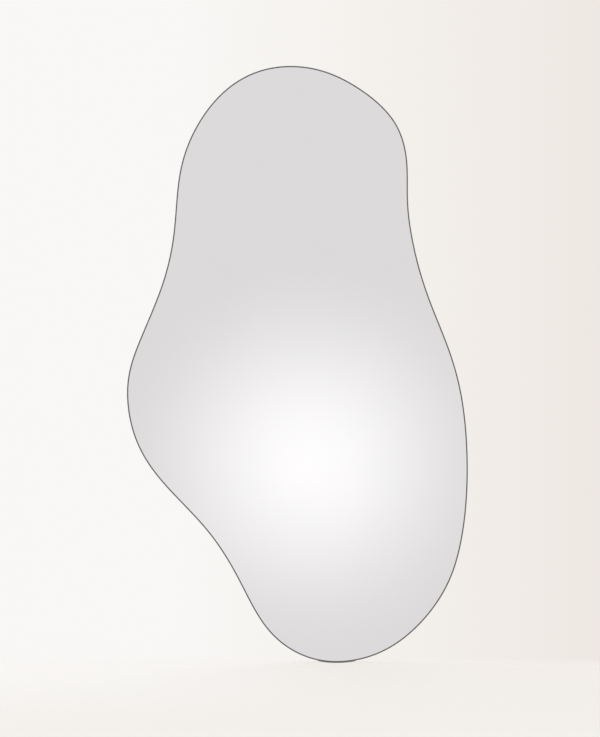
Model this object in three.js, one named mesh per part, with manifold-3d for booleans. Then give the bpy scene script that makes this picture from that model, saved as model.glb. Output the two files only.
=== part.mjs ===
// A wall mirror with a free-form outline: a 5 mm silvered glass in a thin band frame, bonded to a back
// panel that hangs on a pair of interlocking Z-section rails.
//
// Millimetres, +Z up. The mirror faces -Y and the wall is the plane Y = 0. The origin is the middle of the
// wall rail's back face, on the upright line through the mirror's centre of area, so that it hangs level.
// "Depth" always means the distance out from the wall, so a point at depth d has Y = -d.

import * as THREE from "three";
import { mergeVertices } from "three/addons/utils/BufferGeometryUtils.js";
import Module from "manifold-3d";

const wasm = await Module();
wasm.setup();

// ------------------------------------------------------------------------------------ driving dimensions

const MIRROR_WIDTH = 800;
const MIRROR_HEIGHT = 1400; // of the frame band, without the foot pad under it
const OUTLINE_STEPS = 180; // straight facets round the outline

// The outline's knots, anticlockwise from the foot as seen from the front, measured from the middle of
// the outline's box. placeOutline() stretches them to the mirror's width and height.
const OUTLINE_KNOTS = [
  [85, -699], [185, -681], [275, -622], [350, -523], [387, -406], // foot and lower right lobe
  [400, -260], [390, -98], [359, 28], [310, 154], [276, 269], // right flank
  [260, 380], [258, 474], [230, 567], [145, 648], [41, 694], // right neck and shoulder, top
  [-71, 694], [-165, 647], [-236, 560], [-276, 451], [-290, 315], // left shoulder and neck
  [-318, 187], [-371, 55], [-399, -45], [-384, -165], [-322, -271], // left lobe
  [-216, -386], [-140, -502], [-75, -616], [0, -678], // lower left flank, back to the foot
];

// Frame band: a flat bar rolled on edge, its ends butt-welded at the foot.
const BAND_THICKNESS = 2;
const BAND_WALL_GAP = 2; // shadow gap between the band and the wall
const BAND_EDGE_BREAK = 0.4;

// What stacks up from the wall to the glass.
const STANDOFF = 10; // wall to the back of the panel
const PANEL_THICKNESS = 9;
const TAPE_THICKNESS = 1;
const FILM_THICKNESS = 0.3;
const COATING_THICKNESS = 0.2;
const GLASS_THICKNESS = 5;
const GLASS_ARRIS = 0.5;
const GLASS_RECESS = 1.5; // glass face behind the band's front edge

const GLASS_CLEARANCE = 0.4; // glass edge to the band, all round
const PANEL_CLEARANCE = 1.5; // panel edge to the band
const FILM_SETBACK = 0.2; // film edge inside the coating's edge
const SEAT_GAP = 0.3; // between pieces that touch

// Foot pad: a rubber strip stuck under the lowest stretch of the band, over its weld.
const PAD_LENGTH = 92;
const PAD_THICKNESS = 1.2;
const PAD_TAPER = 7; // length of the slope at each end
const PAD_SETBACK = 0.5; // from the band's front and back edges

// Lugs: angle tabs welded inside the band and screwed to the back of the panel.
const LUG_COUNT = 10;
const LUG_WIDTH = 22;
const LUG_WALL = 2;
const LUG_SETBACK = 1; // lug's welded leg inside the band's back edge
const LUG_HOLE_FROM_BAND = 10;

// Pan-head wood screws into the back of the panel.
const SCREW_DIAMETER = 4;
const SCREW_HEAD_DIAMETER = 8;
const SCREW_HEAD_HEIGHT = 2.4;
const SCREW_TIP_LENGTH = 2.5;
const SCREW_TIP_COVER = 1; // panel left in front of a screw's tip
const SCREW_CLEARANCE = 0.3; // on the radius

// Hanging hardware: two lengths of one Z section, the mirror's turned over to hook behind the wall's.
const WALL_RAIL_BELOW_TOP = 280; // top of the mirror to the wall screws
const WALL_RAIL_LENGTH = 320;
const HANGING_RAIL_LENGTH = 360;
const RAIL_WALL = 2;
const RAIL_FLANGE = 24; // height of the flange that is screwed down, web included
const RAIL_HOOK = 10; // height of the hook above its web
const HOOK_PLAY = 1; // between the two hooks, front to back
const RAIL_HOLE_COUNT = 4;
const RAIL_HOLE_FROM_END = 20;
const WALL_SLOT_LENGTH = 11;
const WALL_SLOT_WIDTH = 5;

// Bumpers: rubber spacers that keep the lower part as far from the wall as the rails do.
const BUMPER_DIAMETER = 22;
const BUMPER_FLOOR = 4; // rubber under the screw's head
const BUMPER_DRAFT = 1; // how much narrower the wall end is, on the radius
const BUMPER_EDGE_BREAK = 1;
const BUMPER_BORE_CLEARANCE = 1; // round the screw's head
const SIDE_BUMPER_HEIGHT = 430; // above the lowest point of the band
const SIDE_BUMPER_INSET = 70; // level distance in from the outline
const FOOT_BUMPER_HEIGHT = 110;

// Between the film and the panel: upright strips of double-sided tape with beads of adhesive between them.
const TAPE_COUNT = 5;
const TAPE_FROM_SIDE = 140; // outermost strips' middles from the sides of the band
const TAPE_WIDTH = 25;
const BEAD_WIDTH = 14;
const STRIP_MARGIN = 45; // from the ends of the strips to the outline

// ------------------------------------------------------------------------------------- worked-out depths

const tapeDepth = STANDOFF + PANEL_THICKNESS;
const filmDepth = tapeDepth + TAPE_THICKNESS;
const coatingDepth = filmDepth + FILM_THICKNESS;
const glassDepth = coatingDepth + COATING_THICKNESS;
const glassFaceDepth = glassDepth + GLASS_THICKNESS;
const bandFrontDepth = glassFaceDepth + GLASS_RECESS;
const glassInset = BAND_THICKNESS + GLASS_CLEARANCE;
const coatingInset = glassInset + GLASS_ARRIS;

// ------------------------------------------------------------------------------------------- the outline

// A closed curve through its knots with continuous curvature: a periodic cubic spline whose knots are
// spaced by the square root of their distance.
class ClosedSpline extends THREE.Curve {
  constructor(knots) {
    super();
    this.arcLengthDivisions = 2000;
    this.knots = knots;
    this.gaps = knots.map((knot, i) => Math.sqrt(knot.distanceTo(knots[(i + 1) % knots.length])));
    this.bends = this.solveBends();
  }

  // Second derivatives at the knots. Each depends on its two neighbours, so repeated sweeps settle them.
  solveBends() {
    const SWEEPS = 60;
    const { knots, gaps } = this;
    const count = knots.length;
    const bends = knots.map(() => new THREE.Vector2());
    for (let sweep = 0; sweep < SWEEPS; sweep += 1) {
      for (let i = 0; i < count; i += 1) {
        const before = (i + count - 1) % count;
        const after = (i + 1) % count;
        const slopeIn = knots[i].clone().sub(knots[before]).divideScalar(gaps[before]);
        const slopeOut = knots[after].clone().sub(knots[i]).divideScalar(gaps[i]);
        bends[i] = slopeOut.sub(slopeIn).multiplyScalar(6)
          .addScaledVector(bends[before], -gaps[before])
          .addScaledVector(bends[after], -gaps[i])
          .divideScalar(2 * (gaps[before] + gaps[i]));
      }
    }
    return bends;
  }

  getPoint(t, target = new THREE.Vector2()) {
    const { knots, gaps, bends } = this;
    const along = (t - Math.floor(t)) * knots.length;
    const i = Math.floor(along);
    const after = (i + 1) % knots.length;
    const b = along - i;
    const a = 1 - b;
    const bendScale = gaps[i] ** 2 / 6;
    return target.set(0, 0)
      .addScaledVector(knots[i], a)
      .addScaledVector(knots[after], b)
      .addScaledVector(bends[i], (a ** 3 - a) * bendScale)
      .addScaledVector(bends[after], (b ** 3 - b) * bendScale);
  }
}

function centreOfArea(points) {
  let area = 0;
  const centre = new THREE.Vector2();
  points.forEach((p, i) => {
    const q = points[(i + 1) % points.length];
    const cross = p.cross(q);
    area += cross / 2;
    centre.addScaledVector(p.clone().add(q), cross / 6);
  });
  return centre.divideScalar(area);
}

// The outline at the mirror's own size, in the part's frame.
function placeOutline() {
  const FINE_STEPS = 2000;
  const drawn = OUTLINE_KNOTS.map(([x, z]) => new THREE.Vector2(x, z));
  const box = new THREE.Box2().setFromPoints(new ClosedSpline(drawn).getPoints(FINE_STEPS));
  const size = box.getSize(new THREE.Vector2());
  const middle = box.getCenter(new THREE.Vector2());
  const stretch = new THREE.Vector2(MIRROR_WIDTH / size.x, MIRROR_HEIGHT / size.y);
  const sized = drawn.map((knot) => knot.sub(middle).multiply(stretch));
  const centre = centreOfArea(new ClosedSpline(sized).getPoints(FINE_STEPS));
  const shift = new THREE.Vector2(-centre.x, WALL_RAIL_BELOW_TOP - MIRROR_HEIGHT / 2);
  return new ClosedSpline(sized.map((knot) => knot.add(shift)));
}

const outline = placeOutline();
const perimeter = outline.getLength();
const mirrorBottom = WALL_RAIL_BELOW_TOP - MIRROR_HEIGHT;

// A point of the curve that runs `inset` inside the outline, at share u of the way round.
function insetPoint(u, inset) {
  const share = u - Math.floor(u);
  const tangent = outline.getTangentAt(share);
  return outline.getPointAt(share).addScaledVector(new THREE.Vector2(-tangent.y, tangent.x), inset);
}

function ring(inset) {
  return Array.from({ length: OUTLINE_STEPS }, (_, i) => insetPoint(i / OUTLINE_STEPS, inset));
}

const bandRing = ring(0);

// The share of the way round at which the outline is lowest.
function findFoot() {
  const STEPS = 2000;
  const points = outline.getSpacedPoints(STEPS);
  const lowest = points.reduce((low, p, i) => (p.y < points[low].y ? i : low), 0);
  return lowest / STEPS;
}

const footShare = findFoot();

// Where the line on which `axis` has this value crosses the outline, lowest value first.
function crossings(axis, value) {
  const other = axis === "x" ? "y" : "x";
  const found = [];
  bandRing.forEach((p, i) => {
    const q = bandRing[(i + 1) % bandRing.length];
    if (p[axis] < value !== q[axis] < value) {
      const share = (value - p[axis]) / (q[axis] - p[axis]);
      found.push(THREE.MathUtils.lerp(p[other], q[other], share));
    }
  });
  return found.sort((a, b) => a - b);
}

// ------------------------------------------------------------------------------------------------ solids

// A shape drawn in X and Z, turned into a plate between two depths, its long edges broken by `edge`. The
// depths are rounded to a micron, so that plates that lie face to face share one plane exactly.
function plate(shape, from, to, edge = 0, curveSegments = 10) {
  const MICRON = 0.001;
  const geometry = new THREE.ExtrudeGeometry(shape, {
    depth: to - from - 2 * edge,
    curveSegments,
    bevelEnabled: edge > 0,
    bevelSegments: 1,
    bevelThickness: edge,
    bevelSize: edge,
    bevelOffset: -edge,
  });
  geometry.rotateX(Math.PI / 2).translate(0, -from - edge, 0);
  const { position } = geometry.attributes;
  for (let i = 0; i < position.count; i += 1) {
    position.setY(i, Math.round(position.getY(i) / MICRON) * MICRON);
  }
  return geometry;
}

// A round hole's tool along Y at (x, z), between two depths.
function holeTool([x, z], radius, from, to) {
  const segments = 16;
  return new THREE.CylinderGeometry(radius, radius, to - from, segments)
    .translate(x, -(from + to) / 2, z);
}

// A revolved body about an axis along Y, from [radius, depth] pairs that run outwards from the wall.
function revolve(profile, segments, [x, z]) {
  const points = profile.map(([radius, depth]) => new THREE.Vector2(radius, -depth));
  return new THREE.LatheGeometry(points.reverse(), segments).translate(x, 0, z);
}

function solidOf(geometry) {
  const bare = geometry.clone();
  bare.deleteAttribute("normal");
  bare.deleteAttribute("uv");
  const merged = mergeVertices(bare);
  return new wasm.Manifold(new wasm.Mesh({
    numProp: 3,
    vertProperties: merged.attributes.position.array,
    triVerts: new Uint32Array(merged.index.array),
  }));
}

function geometryOf(solid) {
  const mesh = solid.getMesh();
  const geometry = new THREE.BufferGeometry();
  geometry.setAttribute("position", new THREE.BufferAttribute(mesh.vertProperties, 3));
  geometry.setIndex(new THREE.BufferAttribute(mesh.triVerts, 1));
  geometry.computeVertexNormals();
  return geometry;
}

function join(first, second) {
  return geometryOf(solidOf(first).add(solidOf(second)));
}

function cut(geometry, tools) {
  return geometryOf(tools.map(solidOf).reduce((whole, tool) => whole.subtract(tool), solidOf(geometry)));
}

// --------------------------------------------------------------------------------------------- materials

function finish(color, roughness, metalness) {
  return new THREE.MeshStandardMaterial({ color, roughness, metalness });
}

const graphite = finish(0x7a7977, 0.42, 0.75);
const glass = finish(0xdcdadb, 0.03, 0.9);
const silver = finish(0xe6e5e6, 0.05, 1);
const film = finish(0x8f9aa3, 0.5, 0);
const tapeFoam = finish(0xf0efea, 0.8, 0);
const silicone = finish(0xd6d8d8, 0.4, 0);
const fibreboard = finish(0xa98762, 0.85, 0);
const aluminium = finish(0xbfc1c3, 0.38, 0.95);
const zinc = finish(0xc9c7c0, 0.3, 0.95);
const padRubber = finish(0x7c7b78, 0.8, 0);
const bumperRubber = finish(0x2b2b2c, 0.8, 0);

// ---------------------------------------------------------------------------------- frame band and glass

function frameBand() {
  const shape = new THREE.Shape(bandRing);
  shape.holes.push(new THREE.Path(ring(BAND_THICKNESS)));
  return plate(shape, BAND_WALL_GAP, bandFrontDepth, BAND_EDGE_BREAK);
}

function mirrorGlass() {
  return plate(new THREE.Shape(ring(glassInset)), glassDepth, glassFaceDepth, GLASS_ARRIS);
}

function silverCoating() {
  return plate(new THREE.Shape(ring(coatingInset)), coatingDepth, glassDepth);
}

function safetyFilm() {
  return plate(new THREE.Shape(ring(coatingInset + FILM_SETBACK)), filmDepth, coatingDepth);
}

// A strip that follows the band between two insets, from share `from` to share `to` of the way round. Its
// side at the second inset is shorter by `taper` at each end.
function bandStrip(from, to, nearInset, farInset, taper = 0) {
  const steps = Math.max(2, Math.ceil((to - from) * OUTLINE_STEPS));
  const trim = taper / perimeter;
  const near = [];
  const far = [];
  for (let i = 0; i <= steps; i += 1) {
    near.push(insetPoint(THREE.MathUtils.lerp(from, to, i / steps), nearInset));
    far.push(insetPoint(THREE.MathUtils.lerp(from + trim, to - trim, i / steps), farInset));
  }
  return new THREE.Shape([...near, ...far.reverse()]);
}

function footPad() {
  const half = PAD_LENGTH / 2 / perimeter;
  const top = -SEAT_GAP;
  const shape = bandStrip(footShare - half, footShare + half, top, top - PAD_THICKNESS, PAD_TAPER);
  return plate(shape, BAND_WALL_GAP + PAD_SETBACK, bandFrontDepth - PAD_SETBACK);
}

// -------------------------------------------------------------------------------------------------- lugs

const lugShares = Array.from({ length: LUG_COUNT }, (_, i) => footShare + (i + 0.5) / LUG_COUNT);
const lugInset = BAND_THICKNESS + SEAT_GAP;

function lugHolePlace(share) {
  return insetPoint(share, BAND_THICKNESS + LUG_HOLE_FROM_BAND).toArray();
}

// The tab that lies on the panel: one edge follows the band, the far end is round about the hole.
function lugTab(from, to, [x, z]) {
  const shape = new THREE.Shape([from, (from + to) / 2, to].map((share) => insetPoint(share, lugInset)));
  const along = insetPoint(to, lugInset).sub(insetPoint(from, lugInset)).angle();
  return shape.absarc(x, z, LUG_WIDTH / 2, along, along + Math.PI, false);
}

function lug(share) {
  const half = LUG_WIDTH / 2 / perimeter;
  const place = lugHolePlace(share);
  const tab = lugTab(share - half, share + half, place);
  const leg = bandStrip(share - half, share + half, lugInset, lugInset + LUG_WALL);
  const body = join(
    plate(tab, STANDOFF - LUG_WALL, STANDOFF),
    plate(leg, BAND_WALL_GAP + LUG_SETBACK, STANDOFF),
  );
  return cut(body, [holeTool(place, SCREW_DIAMETER / 2 + SCREW_CLEARANCE, 0, STANDOFF + LUG_WALL)]);
}

// ------------------------------------------------------------------------------------------------ screws

const screwTipDepth = STANDOFF + PANEL_THICKNESS - SCREW_TIP_COVER;

// A screw whose head sits on a face at depth `seat`, and whose point is in the panel.
function screw(place, seat) {
  const segments = 12;
  const headRadius = SCREW_HEAD_DIAMETER / 2;
  const shankRadius = SCREW_DIAMETER / 2;
  const underHead = seat - SEAT_GAP;
  const crown = underHead - SCREW_HEAD_HEIGHT;
  return revolve([
    [0, crown],
    [headRadius * 0.6, crown + SCREW_HEAD_HEIGHT * 0.12],
    [headRadius * 0.92, crown + SCREW_HEAD_HEIGHT * 0.45],
    [headRadius, underHead],
    [shankRadius, underHead],
    [shankRadius, screwTipDepth - SCREW_TIP_LENGTH],
    [0, screwTipDepth],
  ], segments, place);
}

function panelHoleTool(place) {
  return holeTool(place, SCREW_DIAMETER / 2 + SCREW_CLEARANCE, 0, screwTipDepth + SEAT_GAP);
}

// ------------------------------------------------------------------------------------------------- rails

const webTop = RAIL_FLANGE / 2;
const hookTop = webTop + RAIL_HOOK;
const hookBack = (STANDOFF + HOOK_PLAY) / 2; // half the play lies in front of the middle of the standoff
const hangingRailZ = hookTop + SEAT_GAP + webTop; // the mirror's web rests on the wall rail's hook

// The Z section as [depth, height] pairs about the middle of its flange: the flange on the wall, a web out
// from its top, and a hook that stands up at the web's end.
const railSection = [
  [0, -webTop],
  [RAIL_WALL, -webTop],
  [RAIL_WALL, webTop - RAIL_WALL],
  [hookBack + RAIL_WALL, webTop - RAIL_WALL],
  [hookBack + RAIL_WALL, hookTop],
  [hookBack, hookTop],
  [hookBack, webTop],
  [0, webTop],
];

function railBar(section, length) {
  const shape = new THREE.Shape(section.map(([depth, height]) => new THREE.Vector2(depth, height)));
  const sectionToPart = new THREE.Matrix4().makeBasis(
    new THREE.Vector3(0, -1, 0),
    new THREE.Vector3(0, 0, 1),
    new THREE.Vector3(-1, 0, 0),
  );
  return new THREE.ExtrudeGeometry(shape, { depth: length, bevelEnabled: false })
    .translate(0, 0, -length / 2)
    .applyMatrix4(sectionToPart);
}

// Hole places spread evenly along a rail, at height z.
function railHolePlaces(length, z) {
  const reach = length / 2 - RAIL_HOLE_FROM_END;
  return Array.from(
    { length: RAIL_HOLE_COUNT },
    (_, i) => [THREE.MathUtils.lerp(-reach, reach, i / (RAIL_HOLE_COUNT - 1)), z],
  );
}

// A level slot for a wall screw, so that the rail can be set true before the screws are tightened.
function slotTool([x, z]) {
  const reach = (WALL_SLOT_LENGTH - WALL_SLOT_WIDTH) / 2;
  const shape = new THREE.Shape();
  shape.absarc(x + reach, z, WALL_SLOT_WIDTH / 2, -Math.PI / 2, Math.PI / 2, false);
  shape.absarc(x - reach, z, WALL_SLOT_WIDTH / 2, Math.PI / 2, (3 * Math.PI) / 2, false);
  return plate(shape, -RAIL_WALL, 2 * RAIL_WALL, 0, 6);
}

function wallRail() {
  return cut(railBar(railSection, WALL_RAIL_LENGTH), railHolePlaces(WALL_RAIL_LENGTH, 0).map(slotTool));
}

const hangingRailHoles = railHolePlaces(HANGING_RAIL_LENGTH, hangingRailZ);

function hangingRail() {
  const turned = railSection.map(([depth, height]) => [STANDOFF - depth, hangingRailZ - height]);
  return cut(railBar(turned, HANGING_RAIL_LENGTH), hangingRailHoles.map(panelHoleTool));
}

// ----------------------------------------------------------------------------------------------- bumpers

function placeBumpers() {
  const sideZ = mirrorBottom + SIDE_BUMPER_HEIGHT;
  const footZ = mirrorBottom + FOOT_BUMPER_HEIGHT;
  const sides = crossings("y", sideZ);
  const foot = crossings("y", footZ);
  return {
    left: [sides[0] + SIDE_BUMPER_INSET, sideZ],
    right: [sides[sides.length - 1] - SIDE_BUMPER_INSET, sideZ],
    foot: [(foot[0] + foot[foot.length - 1]) / 2, footZ],
  };
}

const bumperPlaces = placeBumpers();
const bumperSeat = STANDOFF - BUMPER_FLOOR;

function bumper(place) {
  const segments = 24;
  const radius = BUMPER_DIAMETER / 2;
  const bore = SCREW_HEAD_DIAMETER / 2 + BUMPER_BORE_CLEARANCE;
  const hole = SCREW_DIAMETER / 2 + SCREW_CLEARANCE;
  return revolve([
    [bore, 0],
    [radius - BUMPER_DRAFT - BUMPER_EDGE_BREAK, 0],
    [radius - BUMPER_DRAFT, BUMPER_EDGE_BREAK],
    [radius, STANDOFF],
    [hole, STANDOFF],
    [hole, bumperSeat],
    [bore, bumperSeat],
    [bore, 0],
  ], segments, place);
}

// --------------------------------------------------------------------------------------- panel and bonds

function backPanel(screwPlaces) {
  const shape = new THREE.Shape(ring(BAND_THICKNESS + PANEL_CLEARANCE));
  return cut(plate(shape, STANDOFF, tapeDepth), screwPlaces.map(panelHoleTool));
}

const bandSides = new THREE.Box2().setFromPoints(bandRing);

// X of the upright strip that is i-th from the left. A bead lies halfway between two tapes.
function stripPlace(i) {
  const first = bandSides.min.x + TAPE_FROM_SIDE;
  const last = bandSides.max.x - TAPE_FROM_SIDE;
  return THREE.MathUtils.lerp(first, last, i / (TAPE_COUNT - 1));
}

// Ends of an upright strip about x that keeps its margin to the outline at both of its edges.
function stripEnds(x, width) {
  const edges = [x - width / 2, x + width / 2].map((edge) => crossings("x", edge));
  return {
    bottom: Math.max(...edges.map((found) => found[0])) + STRIP_MARGIN,
    top: Math.min(...edges.map((found) => found[found.length - 1])) - STRIP_MARGIN,
  };
}

function tapeStrip(x) {
  const half = TAPE_WIDTH / 2;
  const { bottom, top } = stripEnds(x, TAPE_WIDTH);
  const corners = [[x - half, bottom], [x + half, bottom], [x + half, top], [x - half, top]];
  return plate(new THREE.Shape(corners.map(([cx, cz]) => new THREE.Vector2(cx, cz))), tapeDepth, filmDepth);
}

function adhesiveBead(x) {
  const radius = BEAD_WIDTH / 2;
  const { bottom, top } = stripEnds(x, BEAD_WIDTH);
  const shape = new THREE.Shape();
  shape.absarc(x, bottom + radius, radius, Math.PI, 2 * Math.PI, false);
  shape.absarc(x, top - radius, radius, 0, Math.PI, false);
  return plate(shape, tapeDepth, filmDepth, 0, 6);
}

// ---------------------------------------------------------------------------------------------- assembly

const mirror = new THREE.Group();

function add(name, geometry, material) {
  const mesh = new THREE.Mesh(geometry, material);
  mesh.name = name;
  mirror.add(mesh);
}

add("frame_band", frameBand(), graphite);
add("foot_pad", footPad(), padRubber);
add("mirror_glass", mirrorGlass(), glass);
add("silver_coating", silverCoating(), silver);
add("safety_film", safetyFilm(), film);

for (let i = 0; i < TAPE_COUNT; i += 1) {
  add(`tape_strip_${i + 1}`, tapeStrip(stripPlace(i)), tapeFoam);
}
for (let i = 0; i < TAPE_COUNT - 1; i += 1) {
  add(`adhesive_bead_${i + 1}`, adhesiveBead(stripPlace(i + 0.5)), silicone);
}

const lugHoles = lugShares.map(lugHolePlace);
add("back_panel", backPanel([...lugHoles, ...hangingRailHoles, ...Object.values(bumperPlaces)]), fibreboard);

lugShares.forEach((share, i) => {
  const number = String(i + 1).padStart(2, "0");
  add(`frame_lug_${number}`, lug(share), graphite);
  add(`lug_screw_${number}`, screw(lugHoles[i], STANDOFF - LUG_WALL), zinc);
});

add("wall_rail", wallRail(), aluminium);
add("hanging_rail", hangingRail(), aluminium);
hangingRailHoles.forEach((place, i) => add(`rail_screw_${i + 1}`, screw(place, STANDOFF - RAIL_WALL), zinc));

Object.entries(bumperPlaces).forEach(([side, place]) => {
  add(`wall_bumper_${side}`, bumper(place), bumperRubber);
  add(`bumper_screw_${side}`, screw(place, bumperSeat), zinc);
});

export default mirror;
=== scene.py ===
"""Looks of the irregular shaped mirror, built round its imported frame.

Metres, +Z up. The mirror faces -Y and the wall is the plane y = 0. "Depth" is the distance out from the
wall, so a point at depth d has y = -d. "Inset" is the distance inside the frame band's outer face.
"""

import math
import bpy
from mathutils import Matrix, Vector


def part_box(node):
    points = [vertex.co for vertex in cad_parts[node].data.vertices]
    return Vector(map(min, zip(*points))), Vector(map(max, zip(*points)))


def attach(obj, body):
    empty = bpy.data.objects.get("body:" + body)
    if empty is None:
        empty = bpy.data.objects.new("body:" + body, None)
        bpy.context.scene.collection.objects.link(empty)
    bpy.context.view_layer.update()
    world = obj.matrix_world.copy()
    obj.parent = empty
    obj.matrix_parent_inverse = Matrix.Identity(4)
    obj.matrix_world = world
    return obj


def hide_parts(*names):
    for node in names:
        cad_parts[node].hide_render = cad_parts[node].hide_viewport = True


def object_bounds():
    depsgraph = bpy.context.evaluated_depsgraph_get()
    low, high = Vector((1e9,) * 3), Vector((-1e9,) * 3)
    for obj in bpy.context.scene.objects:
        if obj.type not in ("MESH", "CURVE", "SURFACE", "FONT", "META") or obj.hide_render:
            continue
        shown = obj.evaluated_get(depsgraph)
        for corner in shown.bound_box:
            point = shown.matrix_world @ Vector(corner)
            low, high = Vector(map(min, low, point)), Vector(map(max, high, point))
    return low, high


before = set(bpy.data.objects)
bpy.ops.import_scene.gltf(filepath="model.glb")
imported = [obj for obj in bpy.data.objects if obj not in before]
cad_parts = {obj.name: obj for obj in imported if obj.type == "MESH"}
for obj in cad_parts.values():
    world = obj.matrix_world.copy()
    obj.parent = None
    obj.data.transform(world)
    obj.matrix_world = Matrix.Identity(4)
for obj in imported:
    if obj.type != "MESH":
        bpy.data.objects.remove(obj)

from types import SimpleNamespace

import bmesh
import bpy
import numpy as np
from mathutils import Vector

MM = 0.001
CAD_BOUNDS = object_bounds()

# ------------------------------------------------------------------------------- what the photo says
# Pixels of the 600 x 737 photograph.

IMAGE_WIDTH, IMAGE_HEIGHT = 600, 737
OUTLINE_CENTRE_PX = (297.4, 364.1)  # middle of the outline's box
OUTLINE_WIDTH_PX = 340.9
GLOW_CENTRE_PX = (310, 460)  # the soft light that the mirror reflects
GLOW_CORE_PX = -4  # radius where its fade starts, under zero so that the peak isn't flat
GLOW_EDGE_PX = 202  # radius where it is gone
BACKDROP_LEFT_PX = 180  # the wall is even left of this, and darkens from here to the right edge


# --------------------------------------------------------------------------------- sizes from the frame

def node_box(node):
    low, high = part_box(node)
    return SimpleNamespace(
        left=low.x, right=high.x, bottom=low.z, top=high.z,
        back=-high.y, front=-low.y,  # depths
        width=high.x - low.x, height=high.z - low.z,
        x=(low.x + high.x) / 2, z=(low.z + high.z) / 2,
    )


BAND = node_box("frame_band")
PAD = node_box("foot_pad")
GLASS = node_box("mirror_glass")
PANEL = node_box("back_panel")
COATING = node_box("silver_coating")
HANGING = node_box("hanging_rail")
WALL = node_box("wall_rail")

# Sizes that no node's box gives. They repeat those in the CAD's source, or are finer detail than it has.
SEAT_GAP = 0.3 * MM  # between pieces that touch

BAND_WALL = 2 * MM
BAND_ROUNDING = 0.4 * MM
GLASS_ARRIS = 0.5 * MM
PANEL_CHAMFER = 0.4 * MM

PAD_SLOPE = 7 * MM  # length of the slope at each end
PAD_TIP_SHARE = 0.35  # of the full thickness, at the ends
PAD_ROUNDING = 0.35 * MM

LUG_COUNT = 10
LUG_WALL = 2 * MM
LUG_HALF_WIDTH = 11 * MM
LUG_HOLE_FROM_BAND = 10 * MM
LUG_BEND = 1.2 * MM
LUG_ROUNDING = 0.3 * MM

WELD_HALF_LENGTH = 9 * MM
WELD_RADIUS = 1.1 * MM
WELD_RIPPLES = 9
BUTT_WELD_HALF_WIDTH = 1.6 * MM
BUTT_WELD_HEIGHT = 0.5 * MM

SCREW_HEAD_HEIGHT = 2.4 * MM
SCREW_SHANK_RADIUS = 2 * MM
SCREW_TIP_LENGTH = 2.5 * MM
RECESS_REACH = 2.1 * MM
RECESS_HALF_WIDTH = 0.45 * MM
RECESS_DEPTH = 1.5 * MM

RAIL_WALL = 2 * MM
RAIL_FLANGE = 24 * MM
RAIL_ROUNDING = 0.35 * MM
SLOT_LENGTH = 11 * MM
SLOT_WIDTH = 5 * MM
SLOT_FROM_END = 20 * MM

BUMPER_FLOOR = 4 * MM  # rubber under the screw's head
BUMPER_BORE = 5 * MM  # radius round the screw's head
BUMPER_HOLE = 2.3 * MM  # radius round the screw's shank
BUMPER_DRAFT = 1 * MM
BUMPER_EDGE = 1 * MM  # rounding at the wall end
BUMPER_BREAK = 0.3 * MM  # at the panel end
BUMPER_LIP = 0.4 * MM


def inset_of(plate):
    return (BAND.width - plate.width) / 2


# --------------------------------------------------------------------------------------------- outline

class Outline:
    """The smooth closed curve under the frame's faceted one: a periodic cubic spline through the corners
    of the silver coating's edge, which all lie at one inset. A place on it is given in corners, and so
    runs from 0 to `count`."""

    def __init__(self, node, inset):
        points = np.array([tuple(v.co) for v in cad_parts[node].data.vertices])[:, [0, 2]]
        points = np.unique(np.round(points, 6), axis=0)
        centre = points.mean(axis=0)
        angle = np.arctan2(points[:, 1] - centre[1], points[:, 0] - centre[0])
        self.corners = points[np.argsort(angle)]
        self.count = len(self.corners)
        self.inset = inset
        self.bends = self.solve_bends()
        self.fit = np.ones(2)
        self.middle = self.drawn_middle = np.array([BAND.x, BAND.z])
        self.fit_to_band()

    def solve_bends(self):
        eye = np.eye(self.count)
        matrix = 4 * eye + np.roll(eye, 1, axis=0) + np.roll(eye, -1, axis=0)
        ahead, behind = np.roll(self.corners, -1, axis=0), np.roll(self.corners, 1, axis=0)
        return np.linalg.solve(matrix, 6 * (ahead - 2 * self.corners + behind))

    def fit_to_band(self):
        """Draws the curve in by a hair, so that no bulge between two corners leaves the band's box."""
        outside = self.at(np.linspace(0, self.count, 8 * self.count, endpoint=False), 0)
        low, high = outside.min(axis=0), outside.max(axis=0)
        self.drawn_middle = (low + high) / 2
        self.fit = np.minimum(np.array([BAND.width, BAND.height]) / (high - low), 1)

    def at(self, place, inset):
        """Points (x, z) at an inset. `place` and `inset` are numbers or arrays."""
        place = np.asarray(place, dtype=float) % self.count
        i = np.floor(place).astype(int)
        b = (place - i)[..., None]
        a = 1 - b
        j = (i + 1) % self.count
        p, q, m, n = self.corners[i], self.corners[j], self.bends[i], self.bends[j]
        point = a * p + b * q + ((a ** 3 - a) * m + (b ** 3 - b) * n) / 6
        slope = q - p + ((1 - 3 * a ** 2) * m + (3 * b ** 2 - 1) * n) / 6
        slope /= np.linalg.norm(slope, axis=-1, keepdims=True)
        inward = np.stack([-slope[..., 1], slope[..., 0]], axis=-1)
        point = point + inward * (np.asarray(inset)[..., None] - self.inset)
        return self.middle + (point - self.drawn_middle) * self.fit

    def nearest(self, x, z, inset):
        """The place whose point at this inset lies nearest to (x, z)."""
        places = np.linspace(0, self.count, 40 * self.count, endpoint=False)
        gaps = np.linalg.norm(self.at(places, inset) - np.array([x, z]), axis=1)
        return places[gaps.argmin()]


outline = Outline("silver_coating", inset_of(COATING))
FINE_STEPS = 4 * outline.count
FINE_PLACES = np.linspace(0, outline.count, FINE_STEPS, endpoint=False)
CORNER_SPACING = np.linalg.norm(np.diff(outline.at(FINE_PLACES, 0), axis=0), axis=1).sum() / outline.count
FOOT_PLACE = FINE_PLACES[outline.at(FINE_PLACES, 0)[:, 1].argmin()]


# ----------------------------------------------------------------------------------------- mesh helpers

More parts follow.
